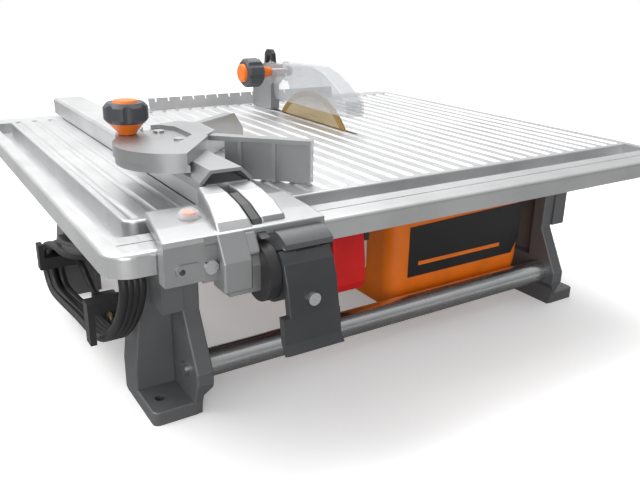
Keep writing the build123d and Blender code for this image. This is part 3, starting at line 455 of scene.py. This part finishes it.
pins.data.materials.append(cast_alloy("pin_brass", (0.72, 0.52, 0.22), grain=1200, roughness=0.25, metal=1.0,
                                      pits=0.05))
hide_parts("power_plug")
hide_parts("power_plug")
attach(plug, "plug")
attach(pins, "plug")

# ---- studio ----
# A pale floor, soft area lights above, behind and in front, and the camera.
# The floor and the surroundings are brighter to the camera than in reflections,
# which keeps the object's front faces dark against a white ground.
bpy.ops.mesh.primitive_plane_add(size=14, location=(0, 0, 0))
floor = bpy.context.object
floor.name = "floor"
floor_paint = bpy.data.materials.new("floor_paint")
floor_paint.use_nodes = True
floor_nodes, floor_links = floor_paint.node_tree.nodes, floor_paint.node_tree.links
floor_nodes["Principled BSDF"].inputs["Roughness"].default_value = 0.9
seen = floor_nodes.new("ShaderNodeLightPath")
floor_tone = floor_nodes.new("ShaderNodeMix")
floor_tone.data_type = "RGBA"
floor_tone.inputs["A"].default_value = (0.30, 0.30, 0.30, 1)
floor_tone.inputs["B"].default_value = (0.97, 0.97, 0.97, 1)
floor_links.new(seen.outputs["Is Camera Ray"], floor_tone.inputs["Factor"])
floor_links.new(floor_tone.outputs["Result"], floor_nodes["Principled BSDF"].inputs["Base Color"])
lift = floor_nodes.new("ShaderNodeMath")
lift.operation = "MULTIPLY"
lift.inputs[1].default_value = 0.22
floor_links.new(seen.outputs["Is Camera Ray"], lift.inputs[0])
floor_nodes["Principled BSDF"].inputs["Emission Color"].default_value = (1, 1, 1, 1)
floor_links.new(lift.outputs["Value"], floor_nodes["Principled BSDF"].inputs["Emission Strength"])
floor.data.materials.append(floor_paint)
world = bpy.data.worlds.new("studio_white")
bpy.context.scene.world = world
world.use_nodes = True
sky_nodes, sky_links = world.node_tree.nodes, world.node_tree.links
around = sky_nodes.new("ShaderNodeTexCoord")
facing = sky_nodes.new("ShaderNodeVectorMath")
facing.operation = "DOT_PRODUCT"
facing.inputs[1].default_value = (-0.25, 0.40, 0.88)
sky_links.new(around.outputs["Generated"], facing.inputs[0])
glow = sky_nodes.new("ShaderNodeMapRange")
glow.inputs["From Min"].default_value = -0.5
glow.inputs["From Max"].default_value = 0.9
glow.inputs["To Min"].default_value = 0.16
glow.inputs["To Max"].default_value = 1.05
sky_links.new(facing.outputs["Value"], glow.inputs["Value"])
to_eye = sky_nodes.new("ShaderNodeLightPath")
brightness = sky_nodes.new("ShaderNodeMix")
brightness.inputs["B"].default_value = 1.0
sky_links.new(to_eye.outputs["Is Camera Ray"], brightness.inputs["Factor"])
sky_links.new(glow.outputs["Result"], brightness.inputs["A"])
sky_links.new(brightness.outputs["Result"], sky_nodes["Background"].inputs["Strength"])
sky_nodes["Background"].inputs["Color"].default_value = (1, 1, 1, 1)
light_target = Vector((0, 0, 0.1))
studio_lights = [("key_light", (-1.5, 0.3, 1.9), 1.2, 22), ("top_light", (0.2, 0.9, 1.9), 1.6, 34),
                 ("fill_light", (-1.1, -1.9, 0.55), 1.1, 15)]
for name, spot, size, power in studio_lights:
    lamp = bpy.data.lights.new(name, "AREA")
    lamp.size = size
    lamp.energy = power
    light = bpy.data.objects.new(name, lamp)
    light.location = spot
    light.rotation_euler = (light_target - Vector(spot)).to_track_quat("-Z", "Y").to_euler()
    bpy.context.scene.collection.objects.link(light)
bpy.context.scene.view_settings.view_transform = "Standard"
view_turn = math.radians(32.714)
view_drop = math.radians(19.90)
view_roll = math.radians(1.075)
eye = bpy.data.cameras.new("camera")
eye.lens = 39.36
eye.sensor_width = 36.0
eye.clip_start = 0.01
camera = bpy.data.objects.new("camera", eye)
camera.matrix_world = (Matrix.Translation((-0.3920, -0.6387, 0.3282)) @ Matrix.Rotation(-view_turn, 4, "Z")
                       @ Matrix.Rotation(math.radians(90) - view_drop, 4, "X")
                       @ Matrix.Rotation(view_roll, 4, "Z"))
bpy.context.scene.collection.objects.link(camera)
bpy.context.scene.camera = camera
